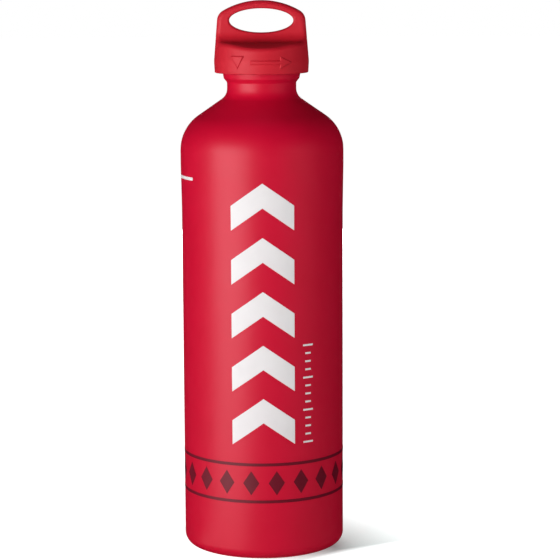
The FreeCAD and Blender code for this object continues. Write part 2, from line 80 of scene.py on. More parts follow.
print("solids in the frame:", ", ".join(sorted(nodes)))

# %% [markdown]
# ## Small helpers
# Colours are easiest to pick as sRGB hex values, the numbers that any colour picker shows, but Blender's
# shaders calculate in linear light, so one function makes that change. A second one adds a shader node,
# sets its properties and fills its sockets: a plain value is set, an output of another node is linked.
# Object coordinates are in metres here, so a texture's scale is one over the width of its features.

# %% Colour and node helpers
MIX_LOW, MIX_HIGH = 2, 3                # sockets of a Mix node that mixes numbers
MIX_A, MIX_B, MIX_COLOUR = 6, 7, 2      # sockets of one that mixes colours, and its output


def linear(hex_colour):
    """Linear red, green, blue and full alpha of an sRGB hex colour."""
    shares = [int(hex_colour[start:start + 2], 16) / 255 for start in (0, 2, 4)]
    return [s / 12.92 if s <= 0.04045 else ((s + 0.055) / 1.055) ** 2.4 for s in shares] + [1.0]


def add_node(owner, kind, inputs=None, **settings):
    """Adds a shader node to a material or world, sets its properties and fills or links its sockets."""
    node = owner.node_tree.nodes.new("ShaderNode" + kind)
    for name, value in settings.items():
        setattr(node, name, value)
    for socket, value in (inputs or {}).items():
        if isinstance(value, bpy.types.NodeSocket):
            owner.node_tree.links.new(value, node.inputs[socket])
        else:
            node.inputs[socket].default_value = value
    return node


def empty_material(name):
    """A new material with no nodes yet."""
    material = bpy.data.materials.new(name)
    material.use_nodes = True
    material.node_tree.nodes.clear()
    return material


def per_metre(millimetres):
    """Texture scale that makes a pattern's features this many millimetres wide."""
    return 1 / (millimetres * MM)


print("a middle red in linear light:", [round(share, 3) for share in linear("c81a28")])

# %% [markdown]
# ## The camera
# The bottle was photographed from about a metre away with a long lens, from just above the height of its
# cap, looking down a little. A long lens keeps the barrel's sides almost parallel. The camera could be
# aimed with a constraint, but three plain turns are easier to read: down, to the right, and a very small
# roll, because the bottle leans by about a quarter of a degree in the picture.

# %% Camera
CAMERA_PLACE = (0.0, -1.048, 0.2876)
LOOK_DOWN = math.radians(8.366)
LOOK_RIGHT = math.radians(0.47)
ROLL = math.radians(0.28)
LENS_MM = 136.1
SENSOR_MM = 36.0

camera_data = bpy.data.cameras.new("camera")
camera_data.lens = LENS_MM
camera_data.sensor_width = SENSOR_MM
camera = bpy.data.objects.new("camera", camera_data)
scene.collection.objects.link(camera)
aim = Matrix.Rotation(-LOOK_RIGHT, 4, "Z") @ Matrix.Rotation(math.pi / 2 - LOOK_DOWN, 4, "X")
camera.matrix_world = Matrix.Translation(CAMERA_PLACE) @ aim @ Matrix.Rotation(-ROLL, 4, "Z")
scene.camera = camera
scene.view_settings.view_transform = "Standard"
print("camera %.2f m from the bottle's axis, with a %.0f mm lens" % (-CAMERA_PLACE[1], LENS_MM))

# %% [markdown]
# ## Where the bottle is bare
# The bottle is drawn from aluminium and coated outside only. The coat stops at the rim, because the seal
# needs machined metal there, and the inside and the thread stay bare as well. Both finishes are on one
# solid, so one material holds both and a mask chooses between them. The mask could be painted, but it can
# also be worked out: a face that looks towards the axis is inside, and a level face at the mouth is the
# rim or the seat. It reads the solid's own coordinates and normals, so it moves with the bottle.

# %% Mask for bare metal
BASE_PANEL_TOP = 6.5 * MM
LEVEL_ENOUGH = 0.9
SEAT_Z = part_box("seal_ring")[0].z

coated = empty_material("powder_coated_aluminium")
spot = add_node(coated, "TexCoord")
place = spot.outputs["Object"]
height = add_node(coated, "SeparateXYZ", {0: place}).outputs["Z"]
upward = add_node(coated, "SeparateXYZ", {0: spot.outputs["Normal"]}).outputs["Z"]
across = add_node(coated, "VectorMath", {0: place, 1: (1, 1, 0)}, operation="MULTIPLY")
outward = add_node(
    coated, "VectorMath", {0: across.outputs[0], 1: spot.outputs["Normal"]}, operation="DOT_PRODUCT"
)
looks_in = add_node(coated, "Math", {0: outward.outputs["Value"], 1: -MM}, operation="LESS_THAN")
over_base = add_node(coated, "Math", {0: height, 1: BASE_PANEL_TOP}, operation="GREATER_THAN")
inside = add_node(
    coated, "Math", {0: looks_in.outputs[0], 1: over_base.outputs[0]}, operation="MULTIPLY"
)
level = add_node(coated, "Math", {0: upward, 1: LEVEL_ENOUGH}, operation="GREATER_THAN")
at_mouth = add_node(coated, "Math", {0: height, 1: SEAT_Z - MM}, operation="GREATER_THAN")
mouth = add_node(coated, "Math", {0: level.outputs[0], 1: at_mouth.outputs[0]}, operation="MULTIPLY")
either = add_node(coated, "Math", {0: inside.outputs[0], 1: mouth.outputs[0]}, operation="MAXIMUM")
bare = either.outputs[0]
print("the seal's seat is %.1f mm up" % (SEAT_Z / MM))

# %% [markdown]
# ## Powder-coated aluminium
# Polyester powder is sprayed on dry and melts in an oven into a tough satin skin. The skin isn't quite
# level: it keeps a faint orange peel, soft dimples a millimetre or two apart, which break up the edge of a
# highlight. Its gloss differs a little from place to place. The machined neck shows fine rings instead.
# A photograph of the surface could carry this, but noise at the real scale never repeats or stretches.

# %% Powder coat and bare metal
PEEL_MM = 1.6
PEEL_HEIGHT = 0.006 * MM
COAT_SMOOTH, COAT_DULL = 0.38, 0.46     # roughness at the glossiest and at the dullest spots
BARE_ROUGHNESS = 0.3
MOTTLE_MM = 14.0
TOOL_RING_MM = 0.4          # finer on a real neck, drawn coarser so that the rings show
TOOL_RING_HEIGHT = 0.003 * MM
WAVE_RADIANS = 20           # a Wave texture runs through this many radians in one unit

mottle = add_node(coated, "TexNoise", {"Vector": place, "Scale": per_metre(MOTTLE_MM), "Detail": 3.0})
red = add_node(
    coated, "Mix",
    {0: mottle.outputs["Fac"], MIX_A: linear("c4042a"), MIX_B: linear("cb0430")},
    data_type="RGBA",
)
surface = add_node(
    coated, "Mix",
    {0: bare, MIX_A: red.outputs[MIX_COLOUR], MIX_B: linear("c9cacc")},
    data_type="RGBA",
)
satin = add_node(
    coated, "MapRange", {"Value": mottle.outputs["Fac"], "To Min": COAT_SMOOTH, "To Max": COAT_DULL}
)
gloss = add_node(coated, "Mix", {0: bare, MIX_LOW: satin.outputs["Result"], MIX_HIGH: BARE_ROUGHNESS})
peel = add_node(coated, "TexNoise", {"Vector": place, "Scale": per_metre(PEEL_MM), "Detail": 1.0})
dimples = add_node(coated, "Bump", {"Height": peel.outputs["Fac"], "Distance": PEEL_HEIGHT})
tool_rings = add_node(
    coated, "TexWave",
    {"Vector": place, "Scale": per_metre(TOOL_RING_MM) * 2 * math.pi / WAVE_RADIANS},
    bands_direction="Z",
)
relief = add_node(
    coated, "Bump",
    {
        "Height": tool_rings.outputs["Fac"],
        "Distance": TOOL_RING_HEIGHT,
        "Strength": bare,
        "Normal": dimples.outputs[0],
    },
)
shader = add_node(
    coated, "BsdfPrincipled",
    {
        "Base Color": surface.outputs[MIX_COLOUR],
        "Metallic": bare,
        "Roughness": gloss.outputs[0],
        "IOR": 1.5,
        "Specular IOR Level": 0.36,
        "Normal": relief.outputs[0],
    },
)
add_node(coated, "OutputMaterial", {"Surface": shader.outputs[0]})
nodes["bottle_shell"].material_slots[0].material = coated
print("bottle coated, with dimples %.1f mm wide" % PEEL_MM)

# %% [markdown]
# ## The moulded cap
# The cap and its carry loop are one injection moulding in polypropylene, coloured right through. The steel
# mould was spark-eroded, so the plastic comes out with a very fine even grain that takes the shine off.
# Its red is a little warmer than the coat's, as pigments in plastic and in powder seldom match exactly.

# %% Moulded polypropylene
GRAIN_MM = 0.5              # a real mould's grain is about 0.1 mm, drawn coarser so that it shows
GRAIN_HEIGHT = 0.006 * MM
FLOW_MM = 18.0
CAP_SMOOTH, CAP_DULL = 0.5, 0.58

moulded = empty_material("moulded_polypropylene")
place = add_node(moulded, "TexCoord").outputs["Object"]
flow = add_node(moulded, "TexNoise", {"Vector": place, "Scale": per_metre(FLOW_MM), "Detail": 2.0})
red = add_node(
    moulded, "Mix",
    {0: flow.outputs["Fac"], MIX_A: linear("c41729"), MIX_B: linear("cb1c2f")},
    data_type="RGBA",
)
satin = add_node(
    moulded, "MapRange", {"Value": flow.outputs["Fac"], "To Min": CAP_SMOOTH, "To Max": CAP_DULL}
)
grain = add_node(moulded, "TexNoise", {"Vector": place, "Scale": per_metre(GRAIN_MM), "Detail": 1.0})
relief = add_node(moulded, "Bump", {"Height": grain.outputs["Fac"], "Distance": GRAIN_HEIGHT})
shader = add_node(
    moulded, "BsdfPrincipled",
    {
        "Base Color": red.outputs[MIX_COLOUR],
        "Roughness": satin.outputs["Result"],
        "IOR": 1.49,
        "Specular IOR Level": 0.38,
        "Normal": relief.outputs[0],
    },
)
add_node(moulded, "OutputMaterial", {"Surface": shader.outputs[0]})
nodes["cap_shell"].material_slots[0].material = moulded
print("cap moulded, with grain %.1f mm wide" % GRAIN_MM)

# %% [markdown]
# ## The stopper under the cap
# The stopper is moulded in black acetal, a slippery plastic that suits threads. It has a low, waxy shine
# with faint flow lines. It is hidden while the cap is closed and shows when the cap is unscrewed.

# %% Moulded acetal
FLOW_LINE_MM = 3.0
ACETAL_SMOOTH, ACETAL_DULL = 0.3, 0.44

acetal = empty_material("moulded_acetal")
place = add_node(acetal, "TexCoord").outputs["Object"]
lines = add_node(
    acetal, "TexNoise",
    {"Vector": place, "Scale": per_metre(FLOW_LINE_MM), "Detail": 4.0, "Distortion": 1.5},
)
black = add_node(
    acetal, "Mix",
    {0: lines.outputs["Fac"], MIX_A: linear("17171a"), MIX_B: linear("212124")},
    data_type="RGBA",
)
waxy = add_node(
    acetal, "MapRange", {"Value": lines.outputs["Fac"], "To Min": ACETAL_SMOOTH, "To Max": ACETAL_DULL}
)
shader = add_node(
    acetal, "BsdfPrincipled",
    {"Base Color": black.outputs[MIX_COLOUR], "Roughness": waxy.outputs["Result"], "IOR": 1.48},
)
add_node(acetal, "OutputMaterial", {"Surface": shader.outputs[0]})
nodes["stopper"].material_slots[0].material = acetal
print("stopper moulded, with flow lines %.0f mm apart" % FLOW_LINE_MM)

# %% [markdown]
# ## The seal ring
# The ring is nitrile rubber, which fuel doesn't swell. Fresh from its mould it is dull and nearly black,
# with a grey bloom where its waxes come to the surface.

# %% Nitrile rubber
BLOOM_MM = 2.5
RUBBER_SMOOTH, RUBBER_DULL = 0.6, 0.85

rubber = empty_material("nitrile_rubber")
place = add_node(rubber, "TexCoord").outputs["Object"]
bloom = add_node(rubber, "TexNoise", {"Vector": place, "Scale": per_metre(BLOOM_MM), "Detail": 5.0})
grey = add_node(
    rubber, "Mix",
    {0: bloom.outputs["Fac"], MIX_A: linear("111111"), MIX_B: linear("2b2a29")},
    data_type="RGBA",
)
dull = add_node(
    rubber, "MapRange", {"Value": bloom.outputs["Fac"], "To Min": RUBBER_SMOOTH, "To Max": RUBBER_DULL}
)
shader = add_node(
    rubber, "BsdfPrincipled",
    {"Base Color": grey.outputs[MIX_COLOUR], "Roughness": dull.outputs["Result"], "IOR": 1.52},
)
add_node(rubber, "OutputMaterial", {"Surface": shader.outputs[0]})
nodes["seal_ring"].material_slots[0].material = rubber
print("seal ring made of rubber with bloom %.1f mm wide" % BLOOM_MM)

# %% [markdown]
# ## Spring wire
# The spring is wound from stainless wire. Pulling the wire through a die leaves fine scratches along it,
# so its shine streaks around the coil. The coil runs around the bottle's axis, so a noise that reads only
# the distance from the axis and the height gives streaks that follow the wire.

# %% Drawn stainless wire
SCRATCH_MM = 0.15
WIRE_SMOOTH, WIRE_DULL = 0.2, 0.4

wire = empty_material("drawn_stainless_wire")
place = add_node(wire, "TexCoord").outputs["Object"]
across = add_node(wire, "VectorMath", {0: place, 1: (1, 1, 0)}, operation="MULTIPLY")
reach = add_node(wire, "VectorMath", {0: across.outputs[0]}, operation="LENGTH")
height = add_node(wire, "SeparateXYZ", {0: place}).outputs["Z"]
section = add_node(wire, "CombineXYZ", {"X": reach.outputs["Value"], "Y": height})
scratches = add_node(
    wire, "TexNoise", {"Vector": section.outputs[0], "Scale": per_metre(SCRATCH_MM), "Detail": 2.0}
)
steel = add_node(
    wire, "Mix",
    {0: scratches.outputs["Fac"], MIX_A: linear("a9a7a3"), MIX_B: linear("c6c4bf")},
    data_type="RGBA",
)
streaks = add_node(
    wire, "MapRange", {"Value": scratches.outputs["Fac"], "To Min": WIRE_SMOOTH, "To Max": WIRE_DULL}
)
shader = add_node(
    wire, "BsdfPrincipled",
    {"Base Color": steel.outputs[MIX_COLOUR], "Metallic": 1.0, "Roughness": streaks.outputs["Result"]},
)
add_node(wire, "OutputMaterial", {"Surface": shader.outputs[0]})
print("wire scratches %.2f mm wide" % SCRATCH_MM)

# %% [markdown]
# ## Winding the return spring
# A compression spring has close turns at both ends and wide turns between them. The solid in the frame has
# this shape too, and the spring is wound again here. A Screw modifier could do that with one pitch. A curve
# with a round bevel can change its pitch along the way, so it is used here.

# %% Wind the spring
WIRE_DIAMETER = 1.4 * MM
END_GAP = 0.5 * MM          # between the first two turns at each end
GROUND_OFF = 0.25 * MM      # taken off the wire at each end
MIDDLE_TURNS = 3.25
POINTS_PER_TURN = 40
WIRE_ROUNDNESS = 5

spring_low, spring_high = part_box("return_spring")
coil_radius = spring_high.x - WIRE_DIAMETER / 2
start_z = spring_low.z + WIRE_DIAMETER / 2 - GROUND_OFF
end_z = spring_high.z - WIRE_DIAMETER / 2 + GROUND_OFF
close_rise = WIRE_DIAMETER + END_GAP
wide_rise = (end_z - start_z - 2 * close_rise) / MIDDLE_TURNS
turns = MIDDLE_TURNS + 2
point_count = round(turns * POINTS_PER_TURN) + 1

coil = bpy.data.curves.new("return_spring_wire", "CURVE")
coil.dimensions = "3D"
coil.bevel_depth = WIRE_DIAMETER / 2
coil.bevel_resolution = WIRE_ROUNDNESS
coil.use_fill_caps = True
line = coil.splines.new("POLY")
line.points.add(point_count - 1)
for index, point in enumerate(line.points):
    turn = turns * index / (point_count - 1)
    end_turns = min(turn, 1) + max(turn - turns + 1, 0)
    rise = end_turns * close_rise + (turn - end_turns) * wide_rise
    angle = 2 * math.pi * turn
    point.co = (coil_radius * math.cos(angle), coil_radius * math.sin(angle), start_z + rise, 1)
print("spring of %.2f turns, %.1f mm across" % (turns, 2 * spring_high.x / MM))

# %% [markdown]
# ## Grinding the spring's ends
# The ends of a spring are ground flat so that it stands straight. Booleans with two blocks could grind
# them, but two level cuts through the mesh are quicker and exact. Each cut leaves an open rim, which is
# filled, so the wire stays closed. The edited mesh then becomes an object in a few steps that are the same
# for every piece made here, so a helper takes them, and a second one shades a round piece smooth.

# %% Object helpers
SHARP_FROM = math.radians(35)


def add_object(name, shape, material):
    """Turns an edited mesh into an object with one material and links it to the scene."""
    mesh = bpy.data.meshes.new(name)
    shape.to_mesh(mesh)
    shape.free()
    mesh.materials.append(material)
    piece = bpy.data.objects.new(name, mesh)
    scene.collection.objects.link(piece)
    return piece


def shade_smooth(piece):
    """Smooth shading, with the steeper edges left sharp."""
    piece.data.polygons.foreach_set("use_smooth", [True] * len(piece.data.polygons))
    piece.data.set_sharp_from_angle(angle=SHARP_FROM)


print("edges stay sharp from %.0f degrees on" % math.degrees(SHARP_FROM))

# %% Grind the spring's ends
SAME_PLACE = 0.001 * MM     # points this near each other, or to a cut, count as one

wound = bpy.data.objects.new("spring_curve", coil)
scene.collection.objects.link(wound)
bpy.context.view_layer.update()
shape = bmesh.new()
shape.from_mesh(wound.to_mesh())
wound.to_mesh_clear()
bpy.data.objects.remove(wound)
bmesh.ops.remove_doubles(shape, verts=shape.verts, dist=SAME_PLACE)
for level_z, way in ((spring_low.z, -1), (spring_high.z, 1)):
    cut = bmesh.ops.bisect_plane(
        shape,
        geom=shape.verts[:] + shape.edges[:] + shape.faces[:],
        plane_co=(0, 0, level_z),
        plane_no=(0, 0, way),
        clear_outer=True,
    )
    rims = [item for item in cut["geom_cut"] if isinstance(item, bmesh.types.BMEdge)]
    bmesh.ops.triangle_fill(shape, use_beauty=True, edges=rims)
bmesh.ops.recalc_face_normals(shape, faces=shape.faces)
spring = add_object("return_spring_wire", shape, wire)
shade_smooth(spring)
print("spring ground, %d faces" % len(spring.data.polygons))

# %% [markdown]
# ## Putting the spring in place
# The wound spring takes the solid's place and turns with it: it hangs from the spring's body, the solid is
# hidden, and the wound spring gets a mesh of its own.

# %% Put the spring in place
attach(spring, "spring")
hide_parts("return_spring")
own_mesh(spring)

# %% [markdown]
# ## Screen ink
# The decoration is printed on the finished coat through a fine screen, with an ink that stands up to fuel.
# Such ink is a thin opaque skin with a softer gloss than the coat. Under the right light its surface keeps
# a trace of the screen's mesh. One function can make both inks, because only their colours differ.

# %% Screen ink
SCREEN_MM = 0.6             # about 0.15 mm on a real screen, drawn coarser so that it shows
SCREEN_HEIGHT = 0.004 * MM
INK_PATCH_MM = 9.0
INK_SMOOTH, INK_DULL = 0.5, 0.6


def screen_ink(name, thin_colour, full_colour):
    """Matt printing ink whose density changes a little from place to place."""
    ink = empty_material(name)
    place = add_node(ink, "TexCoord").outputs["Object"]
    density = add_node(
        ink, "TexNoise", {"Vector": place, "Scale": per_metre(INK_PATCH_MM), "Detail": 4.0}
    )
    tint = add_node(
        ink, "Mix",
        {0: density.outputs["Fac"], MIX_A: linear(thin_colour), MIX_B: linear(full_colour)},
        data_type="RGBA",
    )
    matt = add_node(
        ink, "MapRange", {"Value": density.outputs["Fac"], "To Min": INK_SMOOTH, "To Max": INK_DULL}
    )
    mesh_marks = add_node(
        ink, "TexNoise", {"Vector": place, "Scale": per_metre(SCREEN_MM), "Detail": 0.0}
    )
    relief = add_node(ink, "Bump", {"Height": mesh_marks.outputs["Fac"], "Distance": SCREEN_HEIGHT})
    shader = add_node(
        ink, "BsdfPrincipled",
        {
            "Base Color": tint.outputs[MIX_COLOUR],
            "Roughness": matt.outputs["Result"],
            "IOR": 1.5,
            "Specular IOR Level": 0.4,
            "Normal": relief.outputs[0],
        },
    )
    add_node(ink, "OutputMaterial", {"Surface": shader.outputs[0]})
    return ink


white_ink = screen_ink("white_screen_ink", "e2d8da", "ebe4e5")
burgundy_ink = screen_ink("burgundy_screen_ink", "61031a", "6c0520")
print("inks mixed:", white_ink.name, "and", burgundy_ink.name)

# %% [markdown]
# ## Laying ink on the barrel
# A print could be a colour mask in the coat's material, but a mask is blurred when a material is baked.
# Here each print is a thin closed film instead. Its outline is drawn flat, as on the printer's screen:
# along the barrel's girth from the front, and up. The flat film is cut into narrow strips, raised to a
# closed skin and then rolled around the barrel, which swells a little towards the shoulder.

# %% The barrel's radius
SWELL_LENGTH = 24.0 * MM

straight = next(mount for mount in frame["record"]["mounts"] if mount["name"] == "barrel")
barrel_radius = straight["dims"]["r_mm"] * MM
swollen_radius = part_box("bottle_shell")[1].y
swell_start = straight["pos_m"][2] + straight["dims"]["length_mm"] * MM / 2
swell_end = swell_start + SWELL_LENGTH


def radius_at(z):
    """Radius of the barrel at a height."""
    share = (z - swell_start) / SWELL_LENGTH
    return barrel_radius + (swollen_radius - barrel_radius) * min(max(share, 0), 1)


print("barrel %.1f mm across, swollen to %.1f mm" % (2 * barrel_radius / MM, 2 * swollen_radius / MM))

# %% Film helper
INK_LIFT = 0.03 * MM
INK_THICKNESS = 0.05 * MM
STRIP_WIDTH = 1.0 * MM


def ink_film(name, outlines, ink):
    """One print from flat outlines of (distance round the barrel, height), rolled on as closed films."""
    film = bmesh.new()
    for outline in outlines:
        film.faces.new([film.verts.new((along, 0, z)) for along, z in outline])
    bmesh.ops.triangulate(film, faces=film.faces)
    first = math.ceil(min(vert.co.x for vert in film.verts) / STRIP_WIDTH)
    last = math.floor(max(vert.co.x for vert in film.verts) / STRIP_WIDTH)
    cuts = [((index * STRIP_WIDTH, 0, 0), (1, 0, 0)) for index in range(first, last + 1)]
    cuts += [((0, 0, z), (0, 0, 1)) for z in (swell_start, swell_end)]
    for point, way in cuts:
        everything = film.verts[:] + film.edges[:] + film.faces[:]
        bmesh.ops.bisect_plane(film, geom=everything, plane_co=point, plane_no=way, dist=SAME_PLACE)
    made = bmesh.ops.extrude_face_region(film, geom=film.faces[:], use_keep_orig=True)
    raised = [item for item in made["geom"] if isinstance(item, bmesh.types.BMVert)]
    bmesh.ops.translate(film, verts=raised, vec=(0, -INK_THICKNESS, 0))
    # Outside and inside are told apart while the film is flat, because a rolled one can be mistaken
    bmesh.ops.recalc_face_normals(film, faces=film.faces)
    for vert in film.verts:
        angle = vert.co.x / barrel_radius
        radius = radius_at(vert.co.z) + INK_LIFT - vert.co.y
        vert.co = (radius * math.sin(angle), -radius * math.cos(angle), vert.co.z)
    piece = add_object(name, film, ink)
    shade_smooth(piece)
    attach(piece, "bottle")
    return piece


print("films of ink %.2f mm thick" % (INK_THICKNESS / MM))

# %% [markdown]
# ## A column of chevrons
# The front carries one tall white motif, which reads from far away. A stack of chevrons that point to the
# cap is a plain old sign for this side up. Each one is a band with a bend in the middle, so six corners
# are enough.

# %% White chevrons
CHEVRON_COUNT = 5
COLUMN_LOW = 58.0 * MM
COLUMN_HIGH = 186.0 * MM
COLUMN_HALF_WIDTH = 15.6 * MM
CHEVRON_BAND = 12.0 * MM
CHEVRON_RISE = 11.0 * MM

pitch = (COLUMN_HIGH - COLUMN_LOW - CHEVRON_BAND - CHEVRON_RISE) / (CHEVRON_COUNT - 1)
chevrons = []
for index in range(CHEVRON_COUNT):
    foot = COLUMN_LOW + index * pitch
    chevrons.append([
        (-COLUMN_HALF_WIDTH, foot),
        (0, foot + CHEVRON_RISE),
        (COLUMN_HALF_WIDTH, foot),
        (COLUMN_HALF_WIDTH, foot + CHEVRON_BAND),
        (0, foot + CHEVRON_RISE + CHEVRON_BAND),
        (-COLUMN_HALF_WIDTH, foot + CHEVRON_BAND),
    ])
column = ink_film("chevron_print", chevrons, white_ink)
print("%d chevrons, %.1f mm apart, %d faces" % (CHEVRON_COUNT, pitch / MM, len(column.data.polygons)))

# %% [markdown]
# ## A ladder of small marks
# To the right of the column runs a narrow ladder of short marks. Every fourth mark is longer, as on a
# ruler, which keeps the eye from losing count.

# %% White ladder
LADDER_MIDDLE = 23.0 * MM
LADDER_LOW = 58.0 * MM
LADDER_STEP = 4.0 * MM
LADDER_COUNT = 13
MARK_THICKNESS = 0.9 * MM
SHORT_MARK = 3.2 * MM
LONG_MARK = 5.6 * MM
LONG_EVERY = 4


def bar(left, right, low, thickness):
    """Outline of a level bar."""
    return [(left, low), (right, low), (right, low + thickness), (left, low + thickness)]


marks = []
for index in range(LADDER_COUNT):
    half = (SHORT_MARK if index % LONG_EVERY else LONG_MARK) / 2
    low = LADDER_LOW + index * LADDER_STEP
    marks.append(bar(LADDER_MIDDLE - half, LADDER_MIDDLE + half, low, MARK_THICKNESS))
ink_film("ladder_print", marks, white_ink)
print("ladder of %d marks, %.0f mm tall" % (LADDER_COUNT, (LADDER_COUNT - 1) * LADDER_STEP / MM))

# %% [markdown]
# ## The fill line
# A short white line on the left shoulder of the barrel says how far to fill: liquid fuel needs room to
# swell when it warms up.

# %% White fill line
FILL_LINE_HEIGHT = 186.5 * MM
FILL_LINE_THICKNESS = 1.5 * MM
FILL_LINE_START = math.radians(57)
FILL_LINE_LENGTH = 25.0 * MM

right = -FILL_LINE_START * barrel_radius
low = FILL_LINE_HEIGHT - FILL_LINE_THICKNESS / 2
fill_line = bar(right - FILL_LINE_LENGTH, right, low, FILL_LINE_THICKNESS)
ink_film("fill_line_print", [fill_line], white_ink)
print("fill line %.0f mm long, %.1f mm up" % (FILL_LINE_LENGTH / MM, FILL_LINE_HEIGHT / MM))

# %% [markdown]
# ## A border of lozenges
# Around the foot runs a border in a dark red that only shows against the coat from nearby: a row of
# lozenges between two lines, one of the oldest border patterns there is. Each line goes all the way round
# and leaves a hairline at the back, where the two ends of a print meet, so every film stays closed.

# %% Burgundy border
BORDER_LOW = 29.0 * MM
BORDER_HIGH = 49.0 * MM
BORDER_LINE = 1.5 * MM
LOZENGE_COUNT = 20
LOZENGE_WIDTH = 8.0 * MM
LOZENGE_HEIGHT = 12.0 * MM
BORDER_SEAM = 0.2 * MM       # between the ends of a line

girth = 2 * math.pi * barrel_radius
half = (girth - BORDER_SEAM) / 2
border = [bar(-half, half, low, BORDER_LINE) for low in (BORDER_LOW, BORDER_HIGH - BORDER_LINE)]
middle_z = (BORDER_LOW + BORDER_HIGH) / 2
for index in range(LOZENGE_COUNT):
    middle = girth * ((index + 0.5) / LOZENGE_COUNT - 0.5)
    border.append([
        (middle - LOZENGE_WIDTH / 2, middle_z),
        (middle, middle_z - LOZENGE_HEIGHT / 2),
        (middle + LOZENGE_WIDTH / 2, middle_z),
        (middle, middle_z + LOZENGE_HEIGHT / 2),
    ])
border_piece = ink_film("border_print", border, burgundy_ink)
print("border of %d lozenges, %d faces" % (LOZENGE_COUNT, len(border_piece.data.polygons)))

# %% [markdown]
# ## The white sweep
# Studio floors for white backgrounds are lit until they wash out. Here the floor is a plain pale disc, and
# what the camera sees of it is lifted to white by an added glow. Beside the base the glow is held down in a
# wedge where the key light's shadow falls, which paints a shadow over the floor's own one from the lamps:
# it is as wide as the bottle, darkest at the foot and gone half a bottle's width further on. The glow shows
# only to the camera, in reflections and through clear things: it adds no light to the bottle. The floor's
# paint is a little cool, which takes back the red that the bottle throws on it.

# %% Glow with a painted shadow
SHADOW_WAY = math.radians(35)   # away from the key light, from the right towards the back
SHADOW_START = 20.0 * MM        # darkest here, measured that way from the axis
SHADOW_LENGTH = 54.0 * MM
SHADOW_SIDE = 41.0 * MM         # half of its width, a little more than the barrel's
SHADOW_EDGE = 13.0 * MM
DARKEST_GLOW = 0.14

floor_paint = empty_material("white_sweep")
place = add_node(floor_paint, "TexCoord").outputs["Object"]
turned = add_node(
    floor_paint, "VectorRotate", {"Vector": place, "Angle": -SHADOW_WAY}, rotation_type="Z_AXIS"
)
ways = add_node(floor_paint, "SeparateXYZ", {0: turned.outputs[0]})
past = add_node(floor_paint, "Math", {0: ways.outputs["X"], 1: SHADOW_START}, operation="SUBTRACT")
along = add_node(floor_paint, "Math", {0: past.outputs[0]}, operation="ABSOLUTE")
beside = add_node(floor_paint, "Math", {0: ways.outputs["Y"]}, operation="ABSOLUTE")
# The fade and the edge hold the glow down in a wedge beside the base: a painted shadow, darkest at the
# foot, over the floor's own shadow from the lamps.
painted_shadow_fade = add_node(
    floor_paint, "MapRange",
    {
        "Value": along.outputs[0],
        "From Min": 0,
        "From Max": SHADOW_LENGTH,
        "To Min": DARKEST_GLOW,
        "To Max": 1,
    },
)
edge = add_node(
    floor_paint, "MapRange",
    {
        "Value": beside.outputs[0],
        "From Min": SHADOW_SIDE - SHADOW_EDGE / 2,
        "From Max": SHADOW_SIDE + SHADOW_EDGE / 2,
    },
    interpolation_type="SMOOTHSTEP",
)
glow_with_painted_shadow = add_node(
    floor_paint, "Math", {0: painted_shadow_fade.outputs["Result"], 1: edge.outputs["Result"]}, operation="MAXIMUM"
)
print("the shadow runs %.0f mm from the axis" % ((SHADOW_START + SHADOW_LENGTH) / MM))

# %% Floor
FLOOR_RADIUS = 8.0
FLOOR_SIDES = 96


def plainly_seen(owner):
    """1 for rays from the camera, from reflections and through clear things, 0 for light that falls."""
    ray = add_node(owner, "LightPath")
    seen = add_node(owner, "Math", {0: ray.outputs["Is Camera Ray"], 1: ray.outputs["Is Glossy Ray"]})
    through = ray.outputs["Is Transmission Ray"]
    return add_node(owner, "Math", {0: seen.outputs[0], 1: through}, use_clamp=True).outputs[0]


strength = add_node(
    floor_paint, "Math", {0: glow_with_painted_shadow.outputs[0], 1: plainly_seen(floor_paint)}, operation="MULTIPLY"
)
glow = add_node(floor_paint, "Emission", {"Color": linear("ffffff"), "Strength": strength.outputs[0]})
matt = add_node(floor_paint, "BsdfDiffuse", {"Color": linear("d6efeb")})
both = add_node(floor_paint, "AddShader", {0: matt.outputs[0], 1: glow.outputs[0]})
add_node(floor_paint, "OutputMaterial", {"Surface": both.outputs[0]})

disc = bmesh.new()
bmesh.ops.create_circle(disc, cap_ends=True, segments=FLOOR_SIDES, radius=FLOOR_RADIUS)
floor = add_object("floor", disc, floor_paint)
floor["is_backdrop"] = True
print("floor %.0f m across" % (2 * FLOOR_RADIUS))

# %% [markdown]
# ## Surroundings
# The studio is nearly dark, so that faces that look up stay deep and the lamps alone model the bottle.
# The camera and the reflections see plain white all round, and only a trace of that white lights things.

# %% World
ROOM_LIGHT = 0.04

world = bpy.data.worlds.new("studio")
world.use_nodes = True
world.node_tree.nodes.clear()
scene.world = world
ambient = add_node(world, "Background", {"Color": linear("ffffff"), "Strength": ROOM_LIGHT})
white = add_node(world, "Background", {"Color": linear("ffffff"), "Strength": 1.0})
mixed = add_node(world, "MixShader", {0: plainly_seen(world), 1: ambient.outputs[0], 2: white.outputs[0]})
add_node(world, "OutputWorld", {"Surface": mixed.outputs[0]})
print("the room lights things with %.2f of white" % ROOM_LIGHT)

# %% [markdown]
# ## Black and bright cards
# White surroundings would show as a pale rim along both edges of the barrel, where a glossy skin mirrors
# best. Photographers put black card just outside the picture to keep such edges deep. Here one card lies
# on the floor and one stands around the bottle, both with a gap towards the key light. A lintel closes that
# gap above, a ring closes it around the foot, and a round card hangs over the bottle. On the floor a bright
# card fills the gap, so that the highlight runs on down to the foot. Only reflections see the cards: they
# throw and block no light, and they are never in the way of a camera that looks from another side.

# %% Card paints
BRIGHTNESS = 1.3            # of the bright card, where 1 is white

black_card = empty_material("black_card")
black = add_node(black_card, "BsdfDiffuse", {"Color": linear("101010")})
add_node(black_card, "OutputMaterial", {"Surface": black.outputs[0]})
bright_card = empty_material("bright_card")
bright = add_node(bright_card, "Emission", {"Color": linear("ffffff"), "Strength": BRIGHTNESS})
add_node(bright_card, "OutputMaterial", {"Surface": bright.outputs[0]})
print("cards painted:", black_card.name, "and", bright_card.name)

# %% Card helper
FLAG_STEPS = 32


